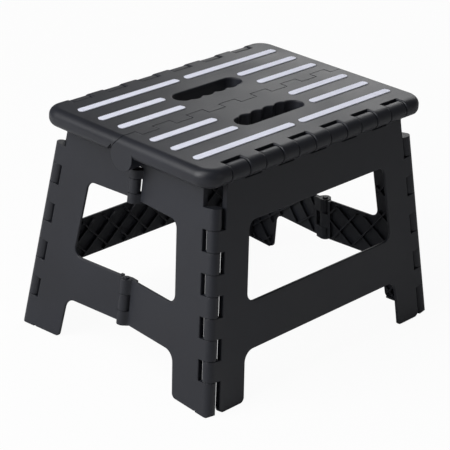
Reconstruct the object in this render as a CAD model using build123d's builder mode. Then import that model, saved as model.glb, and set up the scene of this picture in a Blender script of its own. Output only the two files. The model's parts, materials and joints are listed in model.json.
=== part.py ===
from build123d import *
from math import acos, atan2, cos, hypot, radians, sin, tan
import os

# Folding step stool: two top halves on a centre hinge, two leg panels, two end panels split in the middle.
# X runs along the grip strips, Y across them, Z up; the origin is on the floor under the middle of the top.
# The stool is the same when it is turned half round about Z, so each rear or right piece is a turned copy.

# Overall sizes
stool_height = 220.0  # floor to the top of the grip strips
top_length = 288.0
leg_hinge_reach = 96.5  # middle plane to a leg hinge axis
leg_hinge_depth = 9.0  # deck surface to a leg hinge axis
centre_hinge_depth = 16.5  # deck surface to the centre hinge axis
splay = 6.88  # degrees that a leg panel leans out
side_slope = 6.49  # degrees that a corner axis leans out within its leg panel
end_bend = 4.79  # degrees that each half of an end panel is already folded in

# Walls
deck_thickness = 3.5
rim_wall = 3.5
inner_wall = 2.5
panel_thickness = 5.0
panel_skin = 2.2  # also the thickness of the window and arch edges
panel_flange = 2.5  # along the hinged edges and the feet
rib_thickness = 1.6
rib_pitch = 27.0  # along the panel, between ribs of one slant
rib_inset = 3.2  # ribs stop short of the edges of windows and arches
edge_soft = 0.9  # round on a panel's outer edges

# Clearances
pin_clearance = 0.05
side_gap = 0.45  # beside each knuckle
leg_side_gap = 0.8  # beside each knuckle of a leg hinge
split_gap = 0.5  # between the two top halves
turn_gap = 0.6  # round a knuckle that turns in a pocket
lug_clear = 1.0  # leg panel's top edge below the hinge lugs

# Top
corner_radius = 18.0
edge_round = 8.0  # upper edge of the rim
under_round = 7.0  # lower edge of the rim
finger_pitch = 20.6
finger_count = 14
finger_reach = 4.1  # a finger crosses the middle plane by this much
finger_knuckle_radius = 7.0
end_lug_radius = 13.0
lug_chamfer = (8.0, 9.0)  # on the rim beside the other half's end lug: along, up
top_rib_clear = 1.5  # underside ribs stop this far above the centre hinge axis
centre_clear_y = 20.0  # nearer to the middle than this, nothing hangs below the centre hinge axis

# Handle slots
slot_length = 83.0
slot_outer_y = 48.0
slot_inner_y = 29.5
scallop_radius = 10.0
scallop_depth = 2.5
scallop_pitch = 15.5
scallop_count = 4
slot_soft = 1.2

# Grip strips
strip_width = 8.0
strip_thickness = 1.5
strip_proud = 0.8
strip_outer_x = 124.0  # middle of a strip's outer round end
strip_rows = [(71.7, 8.3), (45.1, 52.7), (19.8, 52.7)]  # distance from the middle plane, inner end
strip_soft = 0.35
strip_clearance = 0.1

# Leg hinges
leg_barrel_radius = 8.2
leg_knuckle_count = 6
leg_knuckle_pitch = 41.7
leg_pocket_width = 22.8
leg_pocket_inner_y = 90.0
knuckle_soft = 1.2  # round on the edges of knuckles and lugs

# Leg panels: half widths at heights above the floor
leg_face = 1.1  # outer face, outward of the leg hinge axis
leg_window = [(89.9, 161.8), (97.3, 89.6)]
leg_arch = [(102.8, 45.7), (107.1, 0.0)]
window_radius = 8.0
arch_radius = 11.0
foot_radius = 5.0

# Corner hinges
corner_axis_x = 122.2  # at the height of the leg hinge axis
corner_barrel_radius = 6.0
corner_notch = 8.0  # axis to the panel's edge beside the other panel's knuckles
corner_row_pitch = 19.27
corner_row_count = 9
corner_top_z = 181.8  # the corner is open above its first knuckle

# End panels: distances from the middle plane at heights above the floor
end_top_z = 199.5
relief_z = 193.5  # top edge under the centre hinge
relief_wide = (33.0, 31.0)  # of the half with two middle knuckles: reach above and below
relief_narrow = (16.0, 14.0)  # of the half with one middle knuckle
end_window = [(55.5, 157.9), (65.0, 84.2)]
end_arch = [(68.7, 40.8), (74.5, 0.0)]
middle_split = 0.5  # half the gap between the two halves

# Middle hinges of the end panels
middle_high = Vector(-127.0, 0, 171.5)  # two points of the left one's axis
middle_low = Vector(-136.5, 0, 63.0)
middle_barrel_radius = 5.5
middle_play = 2.8  # radial room round the pin in the single knuckle
middle_notch = 6.8
middle_fairing = 7.2
middle_rows_upper = [(187.0, 178.9), (178.5, 165.4), (165.0, 156.0)]
middle_rows_lower = [(84.0, 69.9), (69.5, 54.1), (53.7, 40.2)]

# Hinge rods and pins
rod_radius = 1.6
rod_hold = 10.0  # length of a rod's end in its last knuckle
pin_head_radius = 2.8
pin_head_height = 1.2
pin_head_soft = 0.8
pin_floor = 2.0  # moulding left under a pin's end

# Values worked out from those above
deck_z = stool_height - strip_proud
deck_under = deck_z - deck_thickness
leg_axis_z = deck_z - leg_hinge_depth
centre_axis_z = deck_z - centre_hinge_depth
rim_z = leg_axis_z - leg_barrel_radius
front_y = leg_hinge_reach + leg_barrel_radius
half_length = top_length / 2
rib_floor = centre_axis_z + top_rib_clear
bore_radius = rod_radius + pin_clearance
finger_edge = finger_pitch * (finger_count / 2 - 1)
hollow_front_y = leg_hinge_reach - leg_barrel_radius - turn_gap - inner_wall
hollow_back_y = finger_knuckle_radius + turn_gap + inner_wall
leg_panel_top = leg_barrel_radius + lug_clear
leg_knuckle_x = [(k - (leg_knuckle_count - 1) / 2) * leg_knuckle_pitch for k in range(leg_knuckle_count)]
leg_bore_half = leg_knuckle_x[-1] + leg_pocket_width / 2 + rod_hold
centre_bore_half = finger_edge + rod_hold
below_floor = 30.0

# Planes of the front leg panel and of the front half of the left end panel
lean = radians(splay)
slope = radians(side_slope)
front = Plane(origin=(0, -leg_hinge_reach, leg_axis_z), x_dir=(1, 0, 0), z_dir=(0, -cos(lean), sin(lean)))
front_inner = front.offset(leg_face - panel_thickness)
corner_start = front.from_local_coords(Vector(-corner_axis_x, 0, leg_face - corner_barrel_radius))
corner_down = front.from_local_coords(Vector(-sin(slope), -cos(slope), 0)) - front.origin
end_out = corner_down.cross(Vector(0, -1, 0)).normalized()
end_out = end_out.rotate(Axis((0, 0, 0), corner_down), end_bend)
end_plane = Plane(origin=corner_start, x_dir=corner_down.cross(end_out), z_dir=end_out)
end_outer = end_plane.offset(corner_barrel_radius)
end_inner = end_outer.offset(-panel_thickness)
corner_first = (corner_top_z - corner_start.Z) / corner_down.Z
corner_bore_top = corner_first + corner_row_pitch - rod_hold
corner_bore_length = (corner_row_count - 2) * corner_row_pitch + 2 * rod_hold
middle_down = (middle_low - middle_high).normalized()


def on_front(x, z):
    """Place in the leg panel's plane of a point of its outer face, from its x and its height."""
    return (x, (z - leg_axis_z - leg_face * sin(lean)) / cos(lean))


def on_end(y, z):
    """Place in the end panel's plane of a point of its outer face, from its distance to the middle plane."""
    across = end_outer.x_dir
    down = end_outer.y_dir
    start = end_outer.origin
    turn = across.Y * down.Z - across.Z * down.Y
    x = ((-y - start.Y) * down.Z - (z - start.Z) * down.Y) / turn
    s = (across.Y * (z - start.Z) - across.Z * (-y - start.Y)) / turn
    return (x, s)


def end_side(z):
    """Place in the end panel's plane of a point of its edge beside the corner, from its height."""
    start = end_outer.origin + end_outer.x_dir * corner_notch
    return (corner_notch, (z - start.Z) / corner_down.Z)


def on_middle(z):
    """Point of the middle hinge axis at a height."""
    return middle_high + middle_down * ((z - middle_high.Z) / middle_down.Z)


def placed(v, side, depth):
    """A vector of the front left corner, moved to another corner."""
    return Vector(-side * v.X, -depth * v.Y, v.Z)


def nearest(sketch, points):
    """The corners of a sketch that lie nearest to the given points."""
    return [sketch.vertices().sort_by_distance(Vector(*p))[0] for p in points]


def lattice(span):
    """Crossed slanting ribs, drawn in the open sketch."""
    count = int(span / rib_pitch) + 1
    with Locations(*[(k * rib_pitch, 0) for k in range(-count, count + 1)]):
        Rectangle(rib_thickness, 2 * span, rotation=45)
        Rectangle(rib_thickness, 2 * span, rotation=-45)


def corner_rows(first):
    """Start and end, down the corner axis, of every second knuckle row."""
    for row in range(first, corner_row_count, 2):
        start = corner_first + row * corner_row_pitch
        length = corner_row_pitch - side_gap
        if row == corner_row_count - 1:
            length = below_floor - start - corner_start.Z / corner_down.Z
        yield start, length


def clear_floor():
    """Cuts away what lies under the floor."""
    size = 2 * top_length
    Box(size, size, 2 * below_floor, align=(Align.CENTER, Align.CENTER, Align.MAX), mode=Mode.SUBTRACT)


# Top, front half: a hollow tread with fingers of the centre hinge behind and lugs of the leg hinge in front
def finger_x(i):
    """Where finger i of the centre hinge begins."""
    if i == 0:
        return -half_length
    return (i - finger_count / 2) * finger_pitch


def lug_section(grow):
    """Section of an end lug: round about the centre hinge axis, drawn out to the edge of the deck."""
    radius = end_lug_radius + grow
    reach = finger_reach + grow
    turn = atan2(centre_hinge_depth, reach) - acos(radius / hypot(reach, centre_hinge_depth))
    with Locations((0, centre_axis_z)):
        Circle(radius)
    Polygon(
        (-radius, centre_axis_z),
        (radius * cos(turn), centre_axis_z + radius * sin(turn)),
        (reach, deck_z),
        (-radius, deck_z),
    )


def slot_outline(mode=Mode.ADD):
    """Handle slot: a long round-ended hole whose inner edge has finger scallops."""
    with Locations((0, -(slot_outer_y + slot_inner_y) / 2)):
        SlotOverall(slot_length, slot_outer_y - slot_inner_y, mode=mode)
    with Locations((0, -(slot_inner_y + scallop_radius - scallop_depth))):
        with GridLocations(scallop_pitch, 1, scallop_count, 1):
            Circle(scallop_radius, mode=mode)


def strip_places():
    """Middle and length of each grip strip of the front half."""
    for y, inner_x in strip_rows:
        for side in (-1, 1):
            yield (side * (strip_outer_x + inner_x) / 2, -y), strip_outer_x - inner_x + strip_width


with BuildPart() as top_front:
    # Tread blank and its end lug
    with BuildSketch(Plane.XY.offset(rim_z)) as outline:
        with Locations((0, -(front_y + finger_reach + split_gap) / 2)):
            Rectangle(top_length, front_y - finger_reach - split_gap)
        fillet(outline.vertices().group_by(Axis.Y)[0], corner_radius)
    extrude(amount=deck_z - rim_z)
    lower = top_front.faces().sort_by(Axis.Z)[0].edges()
    fillet(lower.filter_by(lambda e: e.center().Y < -finger_reach - split_gap - 1), under_round)
    with BuildSketch(Plane.YZ.offset(-half_length)):
        lug_section(0)
    extrude(amount=half_length - finger_edge - side_gap)
    upper = top_front.edges().filter_by_position(Axis.Z, deck_z - 0.01, deck_z + 0.01)
    ends = upper.filter_by(lambda e: abs(abs(e.center().X) - half_length) < 0.01)
    corners = upper.filter_by(GeomType.CIRCLE)
    fronts = upper.filter_by(lambda e: abs(e.center().Y + front_y) < 0.01)
    fillet(ends + corners + fronts, edge_round)
    # Lower front edge, round about the leg hinge axis
    with BuildSketch(Plane.YZ):
        with Locations((-leg_hinge_reach, leg_axis_z)):
            Rectangle(2 * leg_barrel_radius, 2 * leg_barrel_radius, align=(Align.MAX, Align.MAX))
            Circle(leg_barrel_radius, mode=Mode.SUBTRACT)
    extrude(amount=half_length, both=True, mode=Mode.SUBTRACT)
    # Hollow underside with a wall round the handle slot
    with BuildSketch(Plane.XY.offset(rim_z)) as hollow:
        with Locations((0, -(hollow_front_y + centre_clear_y) / 2)):
            Rectangle(top_length - 2 * rim_wall, hollow_front_y - centre_clear_y)
        with Locations((0, -(centre_clear_y + hollow_back_y) / 2)):
            Rectangle(2 * (finger_edge - inner_wall), centre_clear_y - hollow_back_y)
    extrude(amount=deck_under - rim_z, mode=Mode.SUBTRACT)
    with BuildSketch(Plane.XY.offset(rib_floor)):
        slot_outline()
        offset(amount=inner_wall)
    extrude(amount=deck_under - rib_floor)
    # Room for the other half's knuckles, then this half's fingers
    with BuildSketch(Plane.XY.offset(rim_z)):
        with Locations((0, -finger_knuckle_radius - turn_gap)):
            Rectangle(2 * finger_edge, front_y, align=(Align.CENTER, Align.MIN))
    extrude(amount=deck_under - rim_z, mode=Mode.SUBTRACT)
    with BuildSketch(Plane.XY.offset(rim_z)):
        with Locations((0, -centre_clear_y)):
            Rectangle(2 * finger_edge, centre_clear_y, align=(Align.CENTER, Align.MIN))
    extrude(amount=centre_axis_z - rim_z + split_gap, mode=Mode.SUBTRACT)
    with BuildSketch(*[Plane.YZ.offset(finger_x(i) + side_gap) for i in range(2, finger_count, 2)]):
        with Locations((finger_reach, deck_z)):
            root = hollow_back_y - inner_wall / 2
            Rectangle(finger_reach + root, centre_hinge_depth, align=(Align.MAX, Align.MAX))
        with Locations((0, centre_axis_z)):
            Circle(finger_knuckle_radius)
    extrude(amount=finger_pitch - 2 * side_gap)
    # Room for the other half's end lug
    with BuildSketch(Plane(origin=(half_length, 0, 0), x_dir=(0, -1, 0), z_dir=(-1, 0, 0))):
        lug_section(split_gap)
        with Locations((end_lug_radius, rim_z)):
            Polygon((0, lug_chamfer[1]), (lug_chamfer[0], 0), (0, 0))
    extrude(amount=half_length - finger_edge + side_gap, mode=Mode.SUBTRACT)
    # Pockets for the leg panel's knuckles
    with BuildSketch(*[Plane.YZ.offset(x - leg_pocket_width / 2) for x in leg_knuckle_x]):
        with Locations((-leg_pocket_inner_y, rim_z)):
            Rectangle(front_y, stool_height, align=(Align.MAX, Align.MIN))
        with Locations((-leg_hinge_reach, leg_axis_z)):
            Circle(leg_barrel_radius + turn_gap)
    extrude(amount=leg_pocket_width, mode=Mode.SUBTRACT)
    arcs = top_front.edges().filter_by(GeomType.CIRCLE)
    arcs = arcs.filter_by(lambda e: e.center().Y < -leg_hinge_reach and e.bounding_box().size.X < 0.001)
    fillet(arcs.filter_by(lambda e: abs(e.radius - leg_barrel_radius) < 0.001), knuckle_soft)
    # Rod bores
    with BuildSketch(Plane.YZ):
        with Locations((-leg_hinge_reach, leg_axis_z)):
            Circle(bore_radius)
    extrude(amount=leg_bore_half, both=True, mode=Mode.SUBTRACT)
    with BuildSketch(Plane.YZ):
        with Locations((0, centre_axis_z)):
            Circle(bore_radius)
    extrude(amount=centre_bore_half, both=True, mode=Mode.SUBTRACT)
    # Handle slot and grip strip grooves
    with BuildSketch(Plane.XY.offset(rim_z)):
        slot_outline()
    extrude(amount=deck_z - rim_z, mode=Mode.SUBTRACT)
    rim = top_front.edges().filter_by_position(Axis.Z, deck_z - 0.01, deck_z + 0.01)
    mouth = rim.filter_by(lambda e: abs(e.center().X) < slot_length / 2 + 1)
    mouth = mouth.filter_by(lambda e: slot_inner_y - scallop_depth - 1 < -e.center().Y < slot_outer_y + 1)
    fillet(mouth, slot_soft)
    with BuildSketch(Plane.XY.offset(deck_z)):
        for middle, length in strip_places():
            with Locations(middle):
                SlotOverall(length, strip_width)
    extrude(amount=strip_proud - strip_thickness, mode=Mode.SUBTRACT)
    # Crossed ribs under the deck
    with BuildSketch(Plane.XY.offset(rib_floor)):
        with Locations((0, -leg_hinge_reach / 2)):
            lattice(top_length)
        add(hollow.sketch_local, mode=Mode.INTERSECT)
        slot_outline(Mode.SUBTRACT)
    extrude(amount=deck_under - rib_floor)

# Top, rear half: the same moulding turned half round
with BuildPart() as top_rear:
    add(top_front.part, rotation=(0, 0, 180))

# Grip strips, seated in the grooves of the deck
strips = []
for number, (middle, length) in enumerate(strip_places(), 1):
    with BuildPart() as front_strip:
        with BuildSketch(Plane.XY.offset(deck_z + strip_proud - strip_thickness)):
            with Locations(middle):
                SlotOverall(length - 2 * strip_clearance, strip_width - 2 * strip_clearance)
        extrude(amount=strip_thickness)
        fillet(front_strip.faces().sort_by(Axis.Z)[-1].edges(), strip_soft)
    with BuildPart() as rear_strip:
        add(front_strip.part, rotation=(0, 0, 180))
    strips.append((f"grip_strip_front_{number}", front_strip))
    strips.append((f"grip_strip_rear_{number}", rear_strip))


# Leg panel, front: a ribbed plate with a window and an arch, hinged along its top and both sides
def leg_shape(corners):
    """Places in the leg panel's plane of a shape that is the same on both sides of the middle."""
    return [on_front(-x, z) for x, z in corners] + [on_front(x, z) for x, z in reversed(corners)]


def leg_blank():
    """A leg panel without its openings, drawn in the open sketch; gives the lower corners."""
    floor = on_front(0, 0)[1]
    upper_x = corner_axis_x + leg_panel_top * tan(slope) - corner_notch / cos(slope)
    lower_x = corner_axis_x - floor * tan(slope) - corner_notch / cos(slope)
    feet = [(-lower_x, floor), (lower_x, floor)]
    Polygon((-upper_x, -leg_panel_top), *feet, (upper_x, -leg_panel_top))
    return feet


def leg_outline(sketch):
    """Outline of a leg panel, drawn in the open sketch."""
    feet = leg_blank()
    window = leg_shape(leg_window)
    arch = leg_shape(leg_arch)
    Polygon(*arch, mode=Mode.SUBTRACT)
    fillet(nearest(sketch, [arch[0], arch[3]]), arch_radius)
    fillet(nearest(sketch, [arch[1], arch[2]] + feet), foot_radius)
    Polygon(*window, mode=Mode.SUBTRACT)
    fillet(nearest(sketch, window), window_radius)


with BuildSketch(front_inner) as leg_rib_field:
    leg_outline(leg_rib_field)
    offset(amount=-rib_inset)
with BuildPart() as front_leg_panel:
    with BuildSketch(front.offset(leg_face)) as leg_plate:
        leg_outline(leg_plate)
    extrude(amount=-panel_thickness)
    fillet(front_leg_panel.faces().sort_by(Axis(front.origin, front.z_dir))[-1].edges(), edge_soft)
    # Hollow inner side
    with BuildSketch(front_inner) as leg_hollow:
        leg_blank()
        offset(amount=-panel_flange)
    extrude(amount=panel_thickness - panel_skin, mode=Mode.SUBTRACT)
    with BuildSketch(front_inner):
        Polygon(*leg_shape(leg_arch))
        offset(amount=rib_inset)
    extrude(amount=panel_thickness - panel_skin, mode=Mode.SUBTRACT)
    # Knuckles of the leg hinge
    knuckle_width = leg_pocket_width - 2 * leg_side_gap
    with BuildSketch(front.offset(leg_face)):
        with Locations(*[(x, 0) for x in leg_knuckle_x]):
            Rectangle(knuckle_width, leg_panel_top + panel_flange, align=(Align.CENTER, Align.MAX))
    extrude(amount=-panel_thickness)
    with BuildSketch(Plane(origin=front.origin, x_dir=(1, 0, 0), z_dir=(0, 1, 0))) as barrels:
        with Locations(*[(x, 0) for x in leg_knuckle_x]):
            Rectangle(knuckle_width, leg_barrel_radius, align=(Align.CENTER, Align.MIN))
        fillet(barrels.vertices().group_by(Axis.Y)[-1], knuckle_soft)
    revolve(axis=Axis(front.origin, (1, 0, 0)))
    with BuildSketch(Plane.YZ):
        with Locations((-leg_hinge_reach, leg_axis_z)):
            Circle(bore_radius)
    extrude(amount=leg_bore_half, both=True, mode=Mode.SUBTRACT)
    # Knuckles of the corner hinges
    for side in (-1, 1):
        axis_top = placed(corner_start, side, -1)
        down = placed(corner_down, side, -1)
        inward = down.cross(front.z_dir) * side
        tab = Plane(origin=axis_top + front.z_dir * corner_barrel_radius, x_dir=inward, z_dir=front.z_dir)
        with BuildSketch(tab):
            for start, length in corner_rows(1):
                with Locations(((corner_notch + panel_flange) / 2, side * (start + length / 2))):
                    Rectangle(corner_notch + panel_flange, length)
        extrude(amount=-panel_thickness)
        for start, length in corner_rows(1):
            with BuildSketch(Plane(origin=axis_top + down * start, z_dir=down)):
                Circle(corner_barrel_radius)
            extrude(amount=length)
        with BuildSketch(Plane(origin=axis_top + down * corner_bore_top, z_dir=down)):
            Circle(bore_radius)
        extrude(amount=corner_bore_length, mode=Mode.SUBTRACT)
    clear_floor()
    # Crossed ribs on the inner side
    with BuildSketch(front_inner):
        with Locations((0, -leg_axis_z / 2)):
            lattice(top_length)
        add(leg_hollow.sketch_local, mode=Mode.INTERSECT)
        add(leg_rib_field.sketch_local, mode=Mode.INTERSECT)
    extrude(amount=panel_thickness - panel_skin)

# Leg panel, rear
with BuildPart() as rear_leg_panel:
    add(front_leg_panel.part, rotation=(0, 0, 180))


# End panels: each of two halves, joined by an upper and a lower middle hinge
def end_blank(relief):
    """Front half of the left end panel without its openings, drawn in the open sketch."""
    Polygon(
        end_side(end_top_z),
        on_end(relief[0], end_top_z),
        on_end(relief[1], relief_z),
        on_end(middle_split, relief_z),
        on_end(middle_split, 0),
        end_side(0),
    )


def end_arch_shape():
    """Corners of the half arch of an end panel, from past the middle to below the floor."""
    lean_in = (end_arch[1][0] - end_arch[0][0]) / end_arch[0][1]
    return [
        on_end(-middle_notch, end_arch[0][1]),
        on_end(*end_arch[0]),
        on_end(end_arch[1][0] + below_floor * lean_in, -below_floor),
        on_end(-middle_notch, -below_floor),
    ]


def end_outline(sketch, relief):
    """Outline of the front half of the left end panel, drawn in the open sketch."""
    beyond = -middle_notch
    feet = [on_end(*end_arch[1]), end_side(0)]
    window = [on_end(*c) for c in end_window]
    end_blank(relief)
    Polygon(*end_arch_shape(), mode=Mode.SUBTRACT)
    fillet(nearest(sketch, [on_end(*end_arch[0])]), arch_radius)
    fillet(nearest(sketch, feet), foot_radius)
    Polygon(
        on_end(beyond, end_window[0][1]),
        *window,
        on_end(beyond, end_window[1][1]),
        mode=Mode.SUBTRACT,
    )
    fillet(nearest(sketch, window), window_radius)


def middle_plane(z):
    """Section plane of the middle hinge at a height: x to the corner, y outward, z down."""
    return Plane(origin=on_middle(z), x_dir=end_out.cross(middle_down), z_dir=middle_down)


def end_half(own_rows, middle_bore, relief):
    """Front half of the left end panel, with the given rows of each middle hinge."""
    with BuildSketch(end_inner) as end_rib_field:
        end_outline(end_rib_field, relief)
        offset(amount=-rib_inset)
    with BuildPart() as half:
        with BuildSketch(end_outer) as plate:
            end_outline(plate, relief)
        extrude(amount=-panel_thickness)
        fillet(half.faces().sort_by(Axis(end_outer.origin, end_out))[-1].edges(), edge_soft)
        # Hollow inner side, solid round the middle hinges
        with BuildSketch(end_inner) as end_hollow:
            end_blank(relief)
            offset(amount=-panel_flange)
            for rows in (middle_rows_upper, middle_rows_lower):
                top = rows[0][0] + panel_flange
                end = rows[2][1] - panel_flange
                reach = middle_fairing + panel_flange
                block = [on_end(0, top), on_end(reach, top), on_end(reach, end), on_end(0, end)]
                Polygon(*block, mode=Mode.SUBTRACT)
        extrude(amount=panel_thickness - panel_skin, mode=Mode.SUBTRACT)
        with BuildSketch(end_inner):
            Polygon(*end_arch_shape())
            offset(amount=rib_inset)
        extrude(amount=panel_thickness - panel_skin, mode=Mode.SUBTRACT)
        # Knuckles of the corner hinge
        with BuildSketch(end_inner):
            for start, length in corner_rows(0):
                with Locations((0, start)):
                    Rectangle(corner_notch + panel_flange, length, align=(Align.MIN, Align.MIN))
        extrude(amount=panel_thickness)
        for start, length in corner_rows(0):
            with BuildSketch(Plane(origin=corner_start + corner_down * start, z_dir=corner_down)):
                Circle(corner_barrel_radius)
            extrude(amount=length)
        with BuildSketch(Plane(origin=corner_start + corner_down * corner_bore_top, z_dir=corner_down)):
            Circle(bore_radius)
        extrude(amount=corner_bore_length, mode=Mode.SUBTRACT)
        # Knuckles of the middle hinges, with room for the other half's and for the pin's head
        for rows in (middle_rows_upper, middle_rows_lower):
            for row, (top, end) in enumerate(rows):
                length = (end - top) / middle_down.Z
                if row in own_rows:
                    depth = end_outer.to_local_coords(on_middle(top)).Z + panel_thickness / 2
                    root = panel_thickness - 2 * split_gap
                    with BuildSketch(middle_plane(top)):
                        Circle(middle_barrel_radius)
                        with Locations((middle_fairing, -depth)):
                            Rectangle(panel_flange, root, align=(Align.MAX, Align.CENTER))
                        make_hull()
                    extrude(amount=length)
                else:
                    with BuildSketch(middle_plane(top + side_gap)):
                        with Locations((middle_notch, 0)):
                            Rectangle(2 * middle_notch, 4 * panel_thickness, align=(Align.MAX, Align.CENTER))
                    extrude(amount=length + 2 * side_gap, mode=Mode.SUBTRACT)
            with BuildSketch(middle_plane(rows[0][0])):
                Circle(pin_head_radius + middle_play + split_gap)
            extrude(amount=-pin_head_height - split_gap, mode=Mode.SUBTRACT)
            with BuildSketch(middle_plane(rows[0][0])):
                Circle(middle_bore)
            extrude(amount=(rows[2][1] + pin_floor - rows[0][0]) / middle_down.Z, mode=Mode.SUBTRACT)
        clear_floor()
        # Round lower corner under the corner hinge
        edge = end_outer.origin - end_outer.x_dir * corner_barrel_radius
        with BuildSketch(end_outer):
            with Locations((-corner_barrel_radius, -edge.Z / corner_down.Z)):
                Rectangle(foot_radius, foot_radius, align=(Align.MIN, Align.MAX))
                with Locations((foot_radius, -foot_radius)):
                    Circle(foot_radius, mode=Mode.SUBTRACT)
        extrude(amount=-2 * corner_barrel_radius, mode=Mode.SUBTRACT)
        # Crossed ribs on the inner side
        with BuildSketch(end_inner):
            with Locations((leg_hinge_reach / 2, leg_axis_z / 2)):
                lattice(leg_axis_z)
            add(end_hollow.sketch_local, mode=Mode.INTERSECT)
            add(end_rib_field.sketch_local, mode=Mode.INTERSECT)
        extrude(amount=panel_thickness - panel_skin)
    return half


left_end_front = end_half((0, 2), bore_radius, relief_wide)
single_knuckle_half = end_half((1,), rod_radius + middle_play, relief_narrow)
with BuildPart() as left_end_rear:
    mirror(single_knuckle_half.part, about=Plane.XZ)
with BuildPart() as right_end_rear:
    add(left_end_front.part, rotation=(0, 0, 180))
with BuildPart() as right_end_front:
    add(left_end_rear.part, rotation=(0, 0, 180))

# Rods of the centre and leg hinges
with BuildPart() as centre_hinge_rod:
    with BuildSketch(Plane.YZ):
        with Locations((0, centre_axis_z)):
            Circle(rod_radius)
    extrude(amount=centre_bore_half - side_gap, both=True)
with BuildPart() as front_leg_hinge_rod:
    with BuildSketch(Plane.YZ):
        with Locations((-leg_hinge_reach, leg_axis_z)):
            Circle(rod_radius)
    extrude(amount=leg_bore_half - side_gap, both=True)
with BuildPart() as rear_leg_hinge_rod:
    add(front_leg_hinge_rod.part, rotation=(0, 0, 180))

# Rods of the corner hinges
corner_rods = []
for side, across in ((-1, "left"), (1, "right")):
    for depth, along in ((-1, "front"), (1, "rear")):
        rod_top = placed(corner_start + corner_down * (corner_bore_top + side_gap), side, depth)
        with BuildPart() as corner_rod:
            with BuildSketch(Plane(origin=rod_top, z_dir=placed(corner_down, side, depth))):
                Circle(rod_radius)
            extrude(amount=corner_bore_length - 2 * side_gap)
        corner_rods.append((f"{along}_{across}_corner_rod", corner_rod))

# Headed pins of the middle hinges
middle_pins = []
for level, rows in (("upper", middle_rows_upper), ("lower", middle_rows_lower)):
    with BuildPart() as left_pin:
        with BuildSketch(middle_plane(rows[0][0])):
            Circle(rod_radius)
        extrude(amount=(rows[2][1] + pin_floor + side_gap - rows[0][0]) / middle_down.Z)
        with BuildSketch(middle_plane(rows[0][0])):
            Circle(pin_head_radius)
        extrude(amount=-pin_head_height)
        fillet(left_pin.faces().sort_by(Axis.Z)[-1].edges(), pin_head_soft)
    with BuildPart() as right_pin:
        add(left_pin.part, rotation=(0, 0, 180))
    middle_pins.append((f"left_{level}_middle_pin", left_pin))
    middle_pins.append((f"right_{level}_middle_pin", right_pin))

# Every piece to its own file
pieces = [
    ("top_front", top_front),
    ("top_rear", top_rear),
    ("front_leg_panel", front_leg_panel),
    ("rear_leg_panel", rear_leg_panel),
    ("left_end_front", left_end_front),
    ("left_end_rear", left_end_rear),
    ("right_end_front", right_end_front),
    ("right_end_rear", right_end_rear),
    ("centre_hinge_rod", centre_hinge_rod),
    ("front_leg_hinge_rod", front_leg_hinge_rod),
    ("rear_leg_hinge_rod", rear_leg_hinge_rod),
]
os.makedirs("parts", exist_ok=True)
for name, piece in pieces + corner_rods + middle_pins + strips:
    piece.part.label = name
    export_step(piece.part, f"parts/{name}.step")
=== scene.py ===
# %% [markdown]
# # Folding step stool
# A moulded stool that folds flat when the middle of its top is lifted. The solids come from the CAD model, in
# metres, already in their places. Blender adds the finishes, the ridged grip strips, the light and the camera.

# %% Load the frame
import json
import math

import bpy
from mathutils import Matrix, Vector


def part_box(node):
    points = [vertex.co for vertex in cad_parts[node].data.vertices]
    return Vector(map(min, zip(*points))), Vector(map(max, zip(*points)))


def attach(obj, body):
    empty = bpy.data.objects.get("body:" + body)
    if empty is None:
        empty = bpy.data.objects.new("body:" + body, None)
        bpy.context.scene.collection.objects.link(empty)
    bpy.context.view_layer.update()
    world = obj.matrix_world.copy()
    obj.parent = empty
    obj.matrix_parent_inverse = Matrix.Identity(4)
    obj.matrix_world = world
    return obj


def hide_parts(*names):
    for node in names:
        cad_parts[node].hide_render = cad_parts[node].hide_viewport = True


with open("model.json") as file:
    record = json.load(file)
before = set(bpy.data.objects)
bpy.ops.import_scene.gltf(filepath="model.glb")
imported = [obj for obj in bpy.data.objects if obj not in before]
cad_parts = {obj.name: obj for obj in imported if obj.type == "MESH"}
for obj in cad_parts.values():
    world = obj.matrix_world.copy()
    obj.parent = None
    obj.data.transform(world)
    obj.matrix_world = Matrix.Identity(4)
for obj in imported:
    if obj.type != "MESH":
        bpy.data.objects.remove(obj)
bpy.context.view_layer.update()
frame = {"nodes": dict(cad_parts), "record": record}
nodes = frame["nodes"]
MM = 0.001


# %% [markdown]
# Colours are written as sRGB hex values, the way a paint chart gives them, and shaders want linear numbers, so one
# function converts them. A second one adds a node, sets its values and joins its inputs, which keeps every
# material and every geometry tree readable from top to bottom.

# %% Helpers for colours and nodes
def linear(hex_colour):
    """sRGB hex to linear RGBA."""
    parts = [int(hex_colour[i:i + 2], 16) / 255 for i in (1, 3, 5)]
    return (*[c / 12.92 if c <= 0.04045 else ((c + 0.055) / 1.055) ** 2.4 for c in parts], 1.0)


def add(tree, kind, inputs=None, **settings):
    """One node: its settings, then its inputs by name or number, each a value or another node's output."""
    node = tree.nodes.new(kind)
    for name, value in settings.items():
        setattr(node, name, value)
    for key, value in (inputs or {}).items():
        if isinstance(value, bpy.types.NodeSocket):
            tree.links.new(value, node.inputs[key])
        else:
            node.inputs[key].default_value = value
    return node


def new_material(name):
    """An empty node material, its tree, and the place on the piece for its patterns."""
    material = bpy.data.materials.new(name)
    material.use_nodes = True
    tree = material.node_tree
    tree.nodes.clear()
    return material, tree, add(tree, "ShaderNodeTexCoord").outputs["Object"]


def blend(tree, factor, first, second):
    """A colour between two hex colours."""
    mix = add(tree, "ShaderNodeMix", {"Factor": factor, "A": linear(first), "B": linear(second)}, data_type="RGBA")
    return mix.outputs["Result"]


print("white is", linear("#FFFFFF"))


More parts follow.
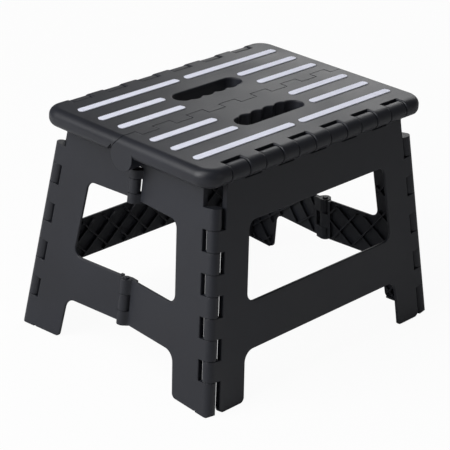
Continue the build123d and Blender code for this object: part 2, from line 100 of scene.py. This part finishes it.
# %% [markdown]
# The panels and the top are injection-moulded polypropylene, dyed right through in charcoal black. The steel mould
# was spark eroded, which leaves a fine pebbled skin: it scatters the light into a soft grey sheen with no sharp
# mirror image. One noise makes that grain. A much larger, faint one stands for the flow of the melt, which changes
# the gloss a little from place to place. The real grain is about 0.3 mm; it is drawn at about 0.9 mm, because
# anything finer would vanish between two pixels. Moulded edges are never razor sharp, so a bevel node bends the
# shading over the last 0.8 mm of each edge, and the edge catches a thin line of light.

# %% Moulded polypropylene
GRAIN = 0.9 * MM
GRAIN_DEPTH = 0.12 * MM
MELT_FLOW = 70 * MM
SOFT_EDGE = 0.8 * MM
PLASTIC_ROUGHNESS = 0.42


def moulded_polypropylene(name, dark, pale):
    """Grained plastic between two colours, with softly shaded edges."""
    material, tree, place = new_material(name)
    grain = add(tree, "ShaderNodeTexNoise", {"Vector": place, "Scale": 1 / GRAIN, "Detail": 3.0, "Roughness": 0.6})
    flow = add(tree, "ShaderNodeTexNoise", {"Vector": place, "Scale": 1 / MELT_FLOW, "Detail": 2.0})
    mottle = add(tree, "ShaderNodeMath", {0: grain.outputs["Fac"], 1: flow.outputs["Fac"]}, operation="ADD")
    spread = add(tree, "ShaderNodeMapRange", {"Value": mottle.outputs[0], "From Min": 0.6, "From Max": 1.4})
    gloss = add(tree, "ShaderNodeMapRange", {
        "Value": flow.outputs["Fac"], "From Min": 0.3, "From Max": 0.7,
        "To Min": PLASTIC_ROUGHNESS - 0.04, "To Max": PLASTIC_ROUGHNESS + 0.05})
    soft_edge = add(tree, "ShaderNodeBevel", {"Radius": SOFT_EDGE}, samples=6)
    bump = add(tree, "ShaderNodeBump", {
        "Height": grain.outputs["Fac"], "Strength": 0.5, "Distance": GRAIN_DEPTH, "Normal": soft_edge.outputs[0]})
    shader = add(tree, "ShaderNodeBsdfPrincipled", {
        "Base Color": blend(tree, spread.outputs[0], dark, pale), "Roughness": gloss.outputs[0],
        "IOR": 1.49, "Specular IOR Level": 0.35, "Normal": bump.outputs[0]})
    add(tree, "ShaderNodeOutputMaterial", {"Surface": shader.outputs[0]})
    return material


# Polypropylene, dyed charcoal black
black_polypropylene = moulded_polypropylene("polypropylene_moulded_charcoal", "#1A1B20", "#21232A")
print("made", black_polypropylene.name)


# %% [markdown]
# The grip strips are a soft thermoplastic rubber in a pale lavender grey, moulded into grooves of the deck. Rubber
# is duller than the deck, with a powdery bloom that lifts its colour a little here and there.

# %% Grip rubber
BLOOM = 9 * MM
RUBBER_SKIN = 0.6 * MM
RUBBER_SKIN_DEPTH = 0.05 * MM


def grip_rubber_finish(name, dull, bloomed):
    """Dull rubber between two colours."""
    material, tree, place = new_material(name)
    bloom = add(tree, "ShaderNodeTexNoise", {"Vector": place, "Scale": 1 / BLOOM, "Detail": 4.0})
    skin = add(tree, "ShaderNodeTexNoise", {"Vector": place, "Scale": 1 / RUBBER_SKIN, "Detail": 2.0})
    bump = add(tree, "ShaderNodeBump", {
        "Height": skin.outputs["Fac"], "Strength": 0.2, "Distance": RUBBER_SKIN_DEPTH})
    shader = add(tree, "ShaderNodeBsdfPrincipled", {
        "Base Color": blend(tree, bloom.outputs["Fac"], dull, bloomed), "Roughness": 0.62,
        "IOR": 1.5, "Normal": bump.outputs[0]})
    add(tree, "ShaderNodeOutputMaterial", {"Surface": shader.outputs[0]})
    return material


# Thermoplastic rubber, pale lavender grey
grip_rubber = grip_rubber_finish("thermoplastic_rubber_lavender_grey", "#C9CBD8", "#D3D5E1")
print("made", grip_rubber.name)


# %% [markdown]
# The long hinge rods are plain drawn steel. They are hidden inside the knuckles, and show only as the stool folds.
# Drawing leaves fine scratches along the rod, so the roughness noise is stretched along the rod's length.

# %% Drawn steel
STREAK = 0.4 * MM
STREAK_STRETCH = (0.03, 1.0, 1.0)


def drawn_steel_finish(name, dark, bright):
    """Bare steel with fine scratches along X."""
    material, tree, place = new_material(name)
    along = add(tree, "ShaderNodeMapping", {"Vector": place, "Scale": STREAK_STRETCH})
    streak = add(tree, "ShaderNodeTexNoise", {"Vector": along.outputs[0], "Scale": 1 / STREAK, "Detail": 3.0})
    gloss = add(tree, "ShaderNodeMapRange", {"Value": streak.outputs["Fac"], "To Min": 0.22, "To Max": 0.42})
    shader = add(tree, "ShaderNodeBsdfPrincipled", {
        "Base Color": blend(tree, streak.outputs["Fac"], dark, bright), "Metallic": 1.0,
        "Roughness": gloss.outputs[0]})
    add(tree, "ShaderNodeOutputMaterial", {"Surface": shader.outputs[0]})
    return material


# Mild steel rod, drawn and left bare
drawn_steel = drawn_steel_finish("steel_drawn_rod", "#9A9B9D", "#BDBEC0")
print("made", drawn_steel.name)


# %% [markdown]
# The record says which material each piece is made of, so each piece takes its finish from there. The shapes stay
# as the CAD model gives them.

# %% Finishes on the pieces
finishes = {"black_plastic": black_polypropylene, "grip_rubber": grip_rubber, "hinge_steel": drawn_steel}
for row in frame["record"]["subparts"]:
    mesh = nodes[row["node"]].data
    mesh.materials.clear()
    mesh.materials.append(finishes[row["material_slot"]])


# %% [markdown]
# Each grip strip is a round-ended bar with low ridges across it, so that a shoe finds hold. The ridges repeat along
# the strip and shorten over its round ends. That is a rule, so a Geometry Nodes tree makes it: an outline is filled
# and raised into the bar, a row of points runs along it, and one low rounded ridge is placed on every point, scaled
# to the width that the outline has there.

# %% Ridged grip strip tree
END_STEPS = 10
END_ROUND = 0.999  # share of the half width; a full 1 would make the two rounds of an end meet
RIDGE_SIDES = 12
RIDGE_REACH = 0.97  # share of the bar's width, so that the ridges stop inside its sides


def ridged_strip_tree():
    """A tree that makes one strip lying on the XY plane, with its middle over the origin."""
    tree = bpy.data.node_groups.new("ridged_grip_strip", "GeometryNodeTree")
    face = tree.interface
    face.new_socket("Geometry", in_out="OUTPUT", socket_type="NodeSocketGeometry")
    for name in ("Length", "Width", "Thickness", "Ridge Pitch", "Ridge Radius", "Ridge Height"):
        face.new_socket(name, in_out="INPUT", socket_type="NodeSocketFloat")
    face.new_socket("Material", in_out="INPUT", socket_type="NodeSocketMaterial")
    given = add(tree, "NodeGroupInput").outputs

    def maths(operation, a, b=0.0):
        return add(tree, "ShaderNodeMath", {0: a, 1: b}, operation=operation).outputs[0]

    radius = maths("MULTIPLY", given["Width"], 0.5)
    bar_height = maths("SUBTRACT", given["Thickness"], given["Ridge Height"])
    # The bar: a filled, round-ended outline raised to the foot of the ridges
    outline = add(tree, "GeometryNodeCurvePrimitiveQuadrilateral", {
        "Width": given["Length"], "Height": given["Width"]})
    end_radius = maths("MULTIPLY", radius, END_ROUND)
    rounded = add(tree, "GeometryNodeFilletCurve", {
        "Curve": outline.outputs[0], "Count": END_STEPS, "Radius": end_radius}, mode="POLY")
    sheet = add(tree, "GeometryNodeFillCurve", {"Curve": rounded.outputs[0]}, mode="NGONS")
    rise = add(tree, "ShaderNodeCombineXYZ", {"Z": bar_height})
    top = add(tree, "GeometryNodeExtrudeMesh", {
        "Mesh": sheet.outputs[0], "Offset": rise.outputs[0], "Offset Scale": 1.0, "Individual": False})
    underside = add(tree, "GeometryNodeFlipFaces", {"Mesh": sheet.outputs[0]})
    # The ridges: a point for each, and the half width of the outline at that point
    straight = maths("SUBTRACT", maths("MULTIPLY", given["Length"], 0.5), radius)
    run = maths("SUBTRACT", given["Length"], given["Ridge Radius"])
    count = maths("FLOOR", maths("DIVIDE", run, given["Ridge Pitch"]))
    row_length = maths("MULTIPLY", maths("SUBTRACT", count, 1.0), given["Ridge Pitch"])
    sunk = maths("SUBTRACT", given["Thickness"], given["Ridge Radius"])
    start = add(tree, "ShaderNodeCombineXYZ", {"X": maths("MULTIPLY", row_length, -0.5), "Z": sunk})
    step = add(tree, "ShaderNodeCombineXYZ", {"X": given["Ridge Pitch"]})
    line = add(tree, "GeometryNodeMeshLine", {
        "Count": count, "Start Location": start.outputs[0], "Offset": step.outputs[0]})
    position = add(tree, "GeometryNodeInputPosition").outputs[0]
    x = add(tree, "ShaderNodeSeparateXYZ", {0: position}).outputs[0]
    past = maths("MAXIMUM", maths("SUBTRACT", maths("ABSOLUTE", x), straight), 0.0)
    chord = maths("SUBTRACT", maths("MULTIPLY", radius, radius), maths("MULTIPLY", past, past))
    half = maths("SQRT", maths("MAXIMUM", chord, 0.0))
    ridge = add(tree, "GeometryNodeMeshCylinder", {
        "Vertices": RIDGE_SIDES, "Radius": given["Ridge Radius"], "Depth": 2.0})
    scale = add(tree, "ShaderNodeCombineXYZ", {"X": 1.0, "Y": 1.0, "Z": maths("MULTIPLY", half, RIDGE_REACH)})
    placed = add(tree, "GeometryNodeInstanceOnPoints", {
        "Points": line.outputs[0], "Instance": ridge.outputs[0], "Rotation": (math.radians(90), 0, 0),
        "Scale": scale.outputs[0]})
    joined = add(tree, "GeometryNodeJoinGeometry")
    for part in (placed.outputs[0], underside.outputs[0], top.outputs[0]):
        tree.links.new(part, joined.inputs[0])
    real = add(tree, "GeometryNodeRealizeInstances", {0: joined.outputs[0]})
    dressed = add(tree, "GeometryNodeSetMaterial", {"Geometry": real.outputs[0], "Material": given["Material"]})
    add(tree, "NodeGroupOutput", {0: dressed.outputs[0]})
    return tree


strip_tree = ridged_strip_tree()
print("tree with", len(strip_tree.nodes), "nodes")


# %% [markdown]
# The same tree makes all the strips. Each one takes its length, width and thickness from the CAD strip that it
# stands for, so the ridged bar fills that strip's space, with the ridges' crests level with its top. The ridge
# pitch of 2.2 mm was counted on the photograph.

# %% Grip strips
RIDGE_PITCH = 2.2 * MM
RIDGE_RADIUS = 1.0 * MM
RIDGE_HEIGHT = 0.4 * MM
TOP_BODY = {"front": "front_top", "rear": "rear_top"}


def input_key(tree, name):
    """A modifier input's identifier, from its name."""
    return next(item.identifier for item in tree.interface.items_tree
                if item.item_type == "SOCKET" and item.in_out == "INPUT" and item.name == name)


def ridged_strip(node):
    """The ridged strip for one CAD strip, as a plain mesh in its place."""
    low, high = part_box(node)
    seed = bpy.data.objects.new("strip_seed", bpy.data.meshes.new("strip_seed"))
    bpy.context.scene.collection.objects.link(seed)
    modifier = seed.modifiers.new("ridges", "NODES")
    modifier.node_group = strip_tree
    sizes = {"Length": high.x - low.x, "Width": high.y - low.y, "Thickness": high.z - low.z,
             "Ridge Pitch": RIDGE_PITCH, "Ridge Radius": RIDGE_RADIUS, "Ridge Height": RIDGE_HEIGHT,
             "Material": grip_rubber}
    for name, value in sizes.items():
        modifier[input_key(strip_tree, name)] = value
    bpy.context.view_layer.update()
    mesh = bpy.data.meshes.new_from_object(seed.evaluated_get(bpy.context.evaluated_depsgraph_get()))
    bpy.data.objects.remove(seed)
    middle = (low + high) / 2
    mesh.transform(Matrix.Translation((middle.x, middle.y, low.z)))
    mesh.name = "ridged_" + node
    piece = bpy.data.objects.new("ridged_" + node, mesh)
    bpy.context.scene.collection.objects.link(piece)
    return piece


for node in sorted(n for n in nodes if n.startswith("grip_strip_")):
    strip = ridged_strip(node)
    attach(strip, TOP_BODY[node.split("_")[2]])
    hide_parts(node)


# %% [markdown]
# The camera stands where the photograph's camera stood. Its place and turn were fitted to the strips, the hinge
# knuckles and the panel corners: about 1.7 m away, to the front left, a little under 25 degrees above the floor,
# with a long lens and a slight roll.

# %% Camera
IMAGE = 450
FOCAL_PIXELS = 1795.2
SENSOR_MM = 36
AZIMUTH, ELEVATION, ROLL = -47.22, 24.66, 2.64
CAMERA_PLACE = Vector((-1.12208, -1.02971, 0.79382))

a, e, r = (math.radians(v) for v in (AZIMUTH, ELEVATION, ROLL))
back = Vector((math.sin(a) * math.cos(e), -math.cos(a) * math.cos(e), math.sin(e)))
level = Vector((math.cos(a), math.sin(a), 0))
rise = back.cross(level)
right = level * math.cos(r) + rise * math.sin(r)
up = rise * math.cos(r) - level * math.sin(r)
lens = bpy.data.cameras.new("camera")
lens.sensor_width = SENSOR_MM
lens.lens = FOCAL_PIXELS / IMAGE * SENSOR_MM
camera = bpy.data.objects.new("camera", lens)
camera.matrix_world = Matrix.Translation(CAMERA_PLACE) @ Matrix((right, up, back)).transposed().to_4x4()
bpy.context.scene.collection.objects.link(camera)
bpy.context.scene.camera = camera
print("camera at", [round(v, 3) for v in CAMERA_PLACE], "lens", round(lens.lens, 1), "mm")


# %% [markdown]
# The stool stands on a plain sheet of white paper. The floor shows the camera a mix of plain white and its own lit
# surface, so the background stays white and a light contact shadow stays under the feet. All other rays see only
# the lit paper, so the dark plastic mirrors no bright sheet.

# %% Floor
FLOOR_REACH = 6.0
PAPER_FIBRE = 40 * MM
WHITE_SHARE = 0.95


def studio_floor(name, dull, bright):
    """White paper, seen by the camera as almost pure white."""
    material, tree, place = new_material(name)
    fibre = add(tree, "ShaderNodeTexNoise", {"Vector": place, "Scale": 1 / PAPER_FIBRE, "Detail": 2.0})
    paper = add(tree, "ShaderNodeBsdfDiffuse", {"Color": blend(tree, fibre.outputs["Fac"], dull, bright)})
    white = add(tree, "ShaderNodeEmission", {"Color": (1, 1, 1, 1), "Strength": 1.0})
    seen = add(tree, "ShaderNodeLightPath").outputs["Is Camera Ray"]
    share = add(tree, "ShaderNodeMath", {0: seen, 1: WHITE_SHARE}, operation="MULTIPLY")
    mix = add(tree, "ShaderNodeMixShader", {0: share.outputs[0], 1: paper.outputs[0], 2: white.outputs[0]})
    add(tree, "ShaderNodeOutputMaterial", {"Surface": mix.outputs[0]})
    return material


floor_corners = [(x * FLOOR_REACH, y * FLOOR_REACH, 0) for x, y in ((-1, -1), (1, -1), (1, 1), (-1, 1))]
floor_mesh = bpy.data.meshes.new("floor")
floor_mesh.from_pydata(floor_corners, [], [(0, 1, 2, 3)])
# Matt white background paper
floor_mesh.materials.append(studio_floor("studio_paper_white", "#D6D6D6", "#DADADA"))
floor = bpy.data.objects.new("floor", floor_mesh)
bpy.context.scene.collection.objects.link(floor)
print("floor", 2 * FLOOR_REACH, "m wide")


# %% [markdown]
# Past the floor the camera sees plain white. For everything else the surroundings give only a weak, even light,
# which keeps the shadows open without washing out the lamps.

# %% Surroundings
AMBIENT = 0.12

world = bpy.data.worlds.new("studio")
world.use_nodes = True
tree = world.node_tree
tree.nodes.clear()
rays = add(tree, "ShaderNodeLightPath").outputs
seen = add(tree, "ShaderNodeMath", {0: rays["Is Camera Ray"], 1: rays["Is Transmission Ray"]}, operation="MAXIMUM")
strength = add(tree, "ShaderNodeMapRange", {"Value": seen.outputs[0], "To Min": AMBIENT, "To Max": 1.0})
sky = add(tree, "ShaderNodeBackground", {"Color": (1, 1, 1, 1), "Strength": strength.outputs[0]})
add(tree, "ShaderNodeOutputWorld", {"Surface": sky.outputs[0]})
bpy.context.scene.world = world
print("ambient light", AMBIENT)


# %% [markdown]
# Four soft lamps light the stool. The large key lamp at the left lights the end panel and leaves the long front
# panel darker, as in the photograph. A smaller one overhead and one behind at the right put the grey sheen on the
# deck and on its rounded rim. A weak one from the front keeps the hinges readable.

# %% Lamps
# Name: place, the point it is aimed at, width and height, watts
LAMPS = {
    "key": ((-1.7, 0.55, 1.2), (0, 0, 0.15), (1.4, 1.4), 45),
    "top": ((-0.9, 0.1, 1.9), (0, 0, 0.2), (0.8, 0.8), 10),
    "back": ((1.7, 0.9, 0.95), (0, 0, 0.2), (1.2, 0.9), 9),
    "fill": ((0.6, -2.2, 0.9), (0, 0, 0.12), (1.2, 1.0), 3.5),
}


def soft_lamp(name, place, target, size, watts):
    """A rectangular lamp aimed at a point."""
    light = bpy.data.lights.new(name, "AREA")
    light.shape = "RECTANGLE"
    light.size, light.size_y = size
    light.energy = watts
    lamp = bpy.data.objects.new(name, light)
    lamp.location = place
    lamp.rotation_euler = (Vector(target) - Vector(place)).to_track_quat("-Z", "Y").to_euler()
    bpy.context.scene.collection.objects.link(lamp)


for name, settings in LAMPS.items():
    soft_lamp(name, *settings)
bpy.context.scene.view_settings.view_transform = "Standard"
